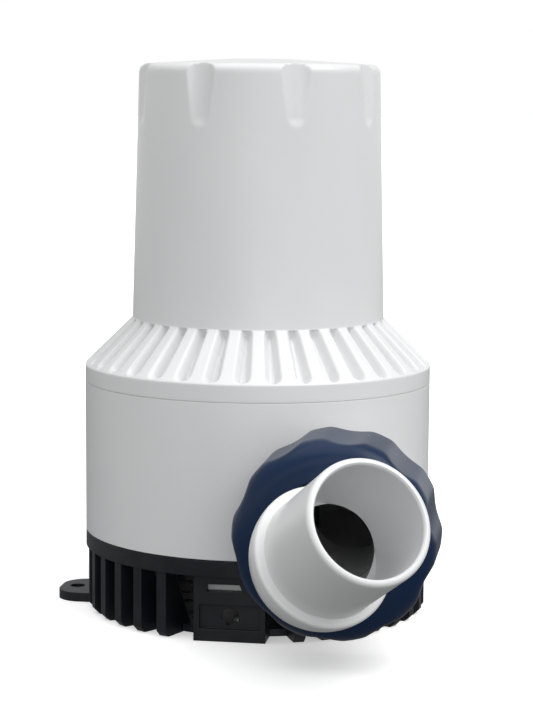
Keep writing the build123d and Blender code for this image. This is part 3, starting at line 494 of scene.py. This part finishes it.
GLAND_Z = 150.0
GLAND_HOLE_R = 5.2
BOSS = [
    (GLAND_HOLE_R, 40.5, 0), (12.0, 40.5, 0), (11.0, 43.2, 0.4), (8.0, 45.2, 2.0), (8.0, 50.0, 0.6),
    (GLAND_HOLE_R, 50.0, 0.4), (GLAND_HOLE_R, 45.0, 0),
]
BOSS_COLUMNS = 64


def plain(r, z, angle):
    """A round piece's shape: the same at every angle."""
    return r, z


def make_boss():
    """The boss that holds the cable gland, flared where it leaves the housing."""
    return turned("cable_boss", rounded(BOSS), BOSS_COLUMNS, about_gland, plain, SOFT_WHITE, closed=True)


# Union nut
PORT_X, PORT_Z = 39.0, 43.4
NUT_R, NUT_BACK_Y, NUT_FRONT_Y, NUT_LIP_Y = 33.1, -65.0, -96.5, -90.05
NUT_LOBES, NUT_FIRST_LOBE = 10, radians(23.4)
NUT_FLUTE_R, NUT_FLUTE_DEPTH, NUT_FLUTE_SOFT = 22.0, 1.4, 0.9
NUT_ROUND, NUT_BACK_ROUND, NUT_HOLE_ROUND, NUT_BORE_ROUND = 7.5, 0.9, 0.8, 0.5
NUT_HOLE_R, NUT_BORE_R = 20.7, 25.0
NUT_STEP = 1.2
COLUMNS_PER_LOBE = 24
THREAD = [(0, -67.5), (-1.4, -68.7), (-1.4, -69.5), (0, -70.7)]
THREAD_PITCH, THREAD_RINGS = 4.0, 4
THREAD_LEAD_IN = 1.5


def about_port(angle, r, y):
    """A point round the port's axis, its angle clockwise from the top as seen from outside."""
    return Vector((PORT_X + r * sin(angle), y, PORT_Z + r * cos(angle)))


def nut_shape(r, y, angle):
    """Sink the broad flutes between the nut's grip lobes into its outside."""
    turn = off_centre(angle, NUT_FIRST_LOBE + pi / NUT_LOBES, NUT_LOBES)
    axis = NUT_R - NUT_FLUTE_DEPTH + NUT_FLUTE_R
    cut = axis * cos(turn) - sqrt(NUT_FLUTE_R**2 - (axis * sin(turn)) ** 2)
    if r < NUT_R - 2 * NUT_FLUTE_DEPTH:
        return r, y
    return soft_min(r, cut, NUT_FLUTE_SOFT), y


def make_nut():
    """The union nut, with its thread as rings inside."""
    section = rounded([
        (NUT_BORE_R, NUT_LIP_Y, 0), (NUT_HOLE_R, NUT_LIP_Y, FINE_ROUND),
        (NUT_HOLE_R, NUT_FRONT_Y, NUT_HOLE_ROUND), (NUT_R, NUT_FRONT_Y, NUT_ROUND),
        (NUT_R, NUT_BACK_Y, NUT_BACK_ROUND), (NUT_BORE_R, NUT_BACK_Y, NUT_BORE_ROUND),
        (NUT_BORE_R, NUT_BACK_Y - THREAD_LEAD_IN, 0),
    ], 10)
    rings = []
    for turn in range(THREAD_RINGS):
        rings += [Vector((NUT_BORE_R + dr, y - THREAD_PITCH * turn)) for dr, y in THREAD]
    section = divided(section, NUT_STEP) + rings
    columns = NUT_LOBES * COLUMNS_PER_LOBE
    return turned("union_nut", section, columns, about_port, nut_shape, NAVY, closed=True)


# Hose tail: a ball elbow whose parts are joined, then bored out
TAIL_BEND, TAIL_ROLL = radians(43.0), radians(45.0)
BALL_AT = Vector((PORT_X, -115.0, PORT_Z))
TAIL_DIR = Vector((sin(TAIL_BEND) * cos(TAIL_ROLL), -cos(TAIL_BEND), sin(TAIL_BEND) * sin(TAIL_ROLL)))
TAIL_SIDE = TAIL_DIR.cross(Vector((0, 0, 1))).normalized()
TAIL_UP = TAIL_SIDE.cross(TAIL_DIR)
BALL_R, SHOULDER, SHOULDER_ROUND, SHOULDER_FOOT_ROUND = 23.0, 1.2, 1.1, 0.4
BALL_SEAM, BALL_INSET = 0.4, 0.04
TAIL_R, TAIL_BORE_R, TAIL_LENGTH = 20.08, 17.7, 35.48
MOUTH_OUTER_ROUND, MOUTH_INNER_ROUND, MOUTH_DEPTH, MOUTH_FLARE = 1.5, 1.2, 0.6, 2.6
PORT_BORE_R, NECK_R, FLANGE_R, FLANGE_BACK_Y, FLANGE_T = 14.8, 20.2, 22.4, -85.9, 3.8
FLANGE_ROUND = 0.3
CUT_PAST, MOUTH_PAST = 1.0, 2.0
TAIL_SHARP = radians(35)
TAIL_COLUMNS, TAIL_STEP = 160, 1.5
OUTER_ARC_STEPS, BORE_ARC_STEPS = 40, 30


def about_tail(angle, r, along):
    """A point round the hose tail's axis, measured from the ball's centre."""
    return BALL_AT + TAIL_DIR * along + (TAIL_SIDE * cos(angle) + TAIL_UP * sin(angle)) * r


def arc(radius, first, last, steps):
    """Points of a ball's section from one distance along the axis to another."""
    start = acos(first / radius)
    sweep = acos(last / radius) - start
    turns = [start + sweep * j / steps for j in range(steps + 1)]
    return [Vector((radius * sin(t), radius * cos(t))) for t in turns]


def joined(piece, other, operation):
    """Apply a boolean of other to piece, and drop other."""
    cut = piece.modifiers.new("cut", "BOOLEAN")
    cut.operation = operation
    cut.object = other
    cut.solver = "EXACT"
    graph = bpy.context.evaluated_depsgraph_get()
    mesh = bpy.data.meshes.new_from_object(piece.evaluated_get(graph))
    piece.modifiers.remove(cut)
    piece.data = mesh
    bpy.data.objects.remove(other)


def tail_piece(name, section, place):
    """A plain turned piece of the elbow, about the tail's axis or the port's."""
    return turned(name, section, TAIL_COLUMNS, place, plain, SOFT_WHITE)


def make_tail():
    """The elbow: a ball with a shouldered tube, joined to the flanged neck, then bored along both axes."""
    ball_front = rounded([
        (TAIL_R, SHOULDER, 0), (BALL_R - BALL_INSET, SHOULDER, SHOULDER_ROUND), (BALL_R, 0.0, 0),
    ])[1:-1]
    tube = rounded([
        (0, TAIL_LENGTH, 0), (TAIL_R, TAIL_LENGTH, MOUTH_OUTER_ROUND),
        (TAIL_R, SHOULDER, SHOULDER_FOOT_ROUND), (TAIL_R + 1, SHOULDER, 0),
    ])[:-1]
    ball = arc(BALL_R, -BALL_SEAM, -BALL_R, OUTER_ARC_STEPS)
    outer = tail_piece("hose_tail_elbow", divided(tube + ball_front, TAIL_STEP) + ball, about_tail)
    flange_y = FLANGE_BACK_Y - FLANGE_T
    neck = rounded([
        (0, FLANGE_BACK_Y, 0), (FLANGE_R, FLANGE_BACK_Y, FLANGE_ROUND), (FLANGE_R, flange_y, FLANGE_ROUND),
        (NECK_R, flange_y, FLANGE_ROUND), (NECK_R, BALL_AT.y, 0), (0, BALL_AT.y, 0),
    ])
    joined(outer, tail_piece("neck", divided(neck, TAIL_STEP), about_port), "UNION")
    bore_y = FLANGE_BACK_Y + CUT_PAST
    bore = [
        Vector((0, bore_y)), Vector((PORT_BORE_R, bore_y)),
        Vector((PORT_BORE_R, BALL_AT.y)), Vector((0, BALL_AT.y)),
    ]
    joined(outer, tail_piece("neck_bore", divided(bore, TAIL_STEP), about_port), "DIFFERENCE")
    mouth = rounded([
        (0, TAIL_LENGTH + MOUTH_PAST, 0), (TAIL_BORE_R + MOUTH_FLARE, TAIL_LENGTH + MOUTH_PAST, 0),
        (TAIL_BORE_R, TAIL_LENGTH - MOUTH_DEPTH, MOUTH_INNER_ROUND), (TAIL_BORE_R, 0, 0),
    ])
    hollow = divided(mouth, TAIL_STEP) + arc(PORT_BORE_R, 0, -PORT_BORE_R, BORE_ARC_STEPS)
    joined(outer, tail_piece("tail_bore", hollow, about_tail), "DIFFERENCE")
    outer.data.shade_smooth()
    outer.data.set_sharp_from_angle(angle=TAIL_SHARP)
    return outer


for make, body, slot_name, node_name in (
    (make_housing, "head", "white_plastic", "motor_housing"),
    (make_boss, "head", "white_plastic", None),
    (make_nut, "nut", "blue_plastic", "discharge_nut"),
    (make_tail, "tail", "white_plastic", "hose_tail"),
):
    piece = make()
    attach(piece, body)
    if node_name:
        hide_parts(node_name)

# ---------------------------------------------------------------------------------------------
# Floor, light and camera
# ---------------------------------------------------------------------------------------------

FLOOR_R = 14.0
FLOOR_CORNERS = 36
FLOOR_GLOW = 0.4


def floor_material():
    n = Nodes("studio_floor")
    tone = n.colours(n.noise(0.4, 3.0), ((0.3, (0.90, 0.90, 0.90)), (0.7, (0.92, 0.92, 0.92))))
    roughness = n.spread(n.noise(0.05, 3.0), 0.3, 0.7, 0.85, 0.95)
    normal = n.bump(n.noise(0.01, 3.0), 0.02 * MM, 0.1)
    n.shader.inputs["Emission Color"].default_value = (1.0, 1.0, 1.0, 1.0)
    return n.finish(tone, roughness, normal, Specular_IOR_Level=0.1, Emission_Strength=FLOOR_GLOW)


def make_floor():
    """A pale floor that takes the soft shadow; the light from below comes from the world instead."""
    mesh = bpy.data.meshes.new("studio_floor")
    turns = [radians(360 * k / FLOOR_CORNERS) for k in range(FLOOR_CORNERS)]
    rim = [(FLOOR_R * cos(a), FLOOR_R * sin(a), 0.0) for a in turns]
    mesh.from_pydata(rim, [], [tuple(range(len(rim)))])
    mesh.materials.append(floor_material())
    floor = bpy.data.objects.new("studio_floor", mesh)
    floor.visible_diffuse = False
    floor.visible_glossy = False
    bpy.context.scene.collection.objects.link(floor)
    return floor


FROM_BELOW = 0.22
FROM_ABOVE = 0.50
SKY = (
    (0.0, FROM_BELOW), (0.44, FROM_BELOW), (0.49, 1.0),
    (0.53, 1.0), (0.64, FROM_ABOVE), (1.0, FROM_ABOVE),
)


def make_world():
    """An even studio: dim from below, white at the horizon, softer overhead."""
    world = bpy.data.worlds.new("studio")
    bpy.context.scene.world = world
    world.use_nodes = True
    tree = world.node_tree
    tree.nodes.clear()
    out = tree.nodes.new("ShaderNodeOutputWorld")
    back = tree.nodes.new("ShaderNodeBackground")
    ramp = tree.nodes.new("ShaderNodeValToRGB")
    height = tree.nodes.new("ShaderNodeMapRange")
    split = tree.nodes.new("ShaderNodeSeparateXYZ")
    place = tree.nodes.new("ShaderNodeTexCoord")
    while len(ramp.color_ramp.elements) < len(SKY):
        ramp.color_ramp.elements.new(1.0)
    for element, (position, level) in zip(ramp.color_ramp.elements, SKY):
        element.position = position
        element.color = (level, level, level, 1.0)
    height.inputs["From Min"].default_value = -1.0
    tree.links.new(place.outputs["Generated"], split.inputs["Vector"])
    tree.links.new(split.outputs["Z"], height.inputs["Value"])
    tree.links.new(height.outputs["Result"], ramp.inputs["Fac"])
    tree.links.new(ramp.outputs["Color"], back.inputs["Color"])
    tree.links.new(back.outputs["Background"], out.inputs["Surface"])
    return world


def soft_sun(name, azimuth, elevation, strength, width):
    """A wide, distant light. Azimuth 0 is in front of the port, and positive is to the right."""
    data = bpy.data.lights.new(name, "SUN")
    data.energy = strength
    data.angle = radians(width)
    lamp = bpy.data.objects.new(name, data)
    towards = Vector((
        sin(radians(azimuth)) * cos(radians(elevation)),
        -cos(radians(azimuth)) * cos(radians(elevation)),
        sin(radians(elevation)),
    ))
    lamp.rotation_mode = "QUATERNION"
    lamp.rotation_quaternion = towards.to_track_quat("Z", "Y")
    bpy.context.scene.collection.objects.link(lamp)
    return lamp


make_floor()
make_world()
soft_sun("key", 74.0, 50.0, 1.6, 45.0)
soft_sun("top", -30.0, 78.0, 1.1, 70.0)
soft_sun("front", 14.0, 14.0, 0.55, 50.0)

CAMERA_AT = (0.11953, -0.75465, 0.1861)
CAMERA_TURN = radians(8.769)
CAMERA_PITCH = radians(6.968)
CAMERA_ROLL = radians(0.413)
CAMERA_LENS = 109.55
CAMERA_SENSOR = 36.0
NEAR, FAR = 0.01, 100.0


def make_camera():
    forward = Vector((
        -sin(CAMERA_TURN) * cos(CAMERA_PITCH),
        cos(CAMERA_TURN) * cos(CAMERA_PITCH),
        -sin(CAMERA_PITCH),
    ))
    right = Vector((cos(CAMERA_TURN), sin(CAMERA_TURN), 0.0))
    up = right.cross(forward)
    across = right * cos(CAMERA_ROLL) + up * sin(CAMERA_ROLL)
    above = up * cos(CAMERA_ROLL) - right * sin(CAMERA_ROLL)
    turn = Matrix((across, above, -forward)).transposed()
    data = bpy.data.cameras.new("camera")
    data.sensor_width = CAMERA_SENSOR
    data.lens = CAMERA_LENS
    data.clip_start = NEAR
    data.clip_end = FAR
    camera = bpy.data.objects.new("camera", data)
    camera.rotation_mode = "QUATERNION"
    camera.rotation_quaternion = turn.to_quaternion()
    camera.location = CAMERA_AT
    bpy.context.scene.collection.objects.link(camera)
    bpy.context.scene.camera = camera


make_camera()
bpy.context.scene.view_settings.view_transform = "Standard"
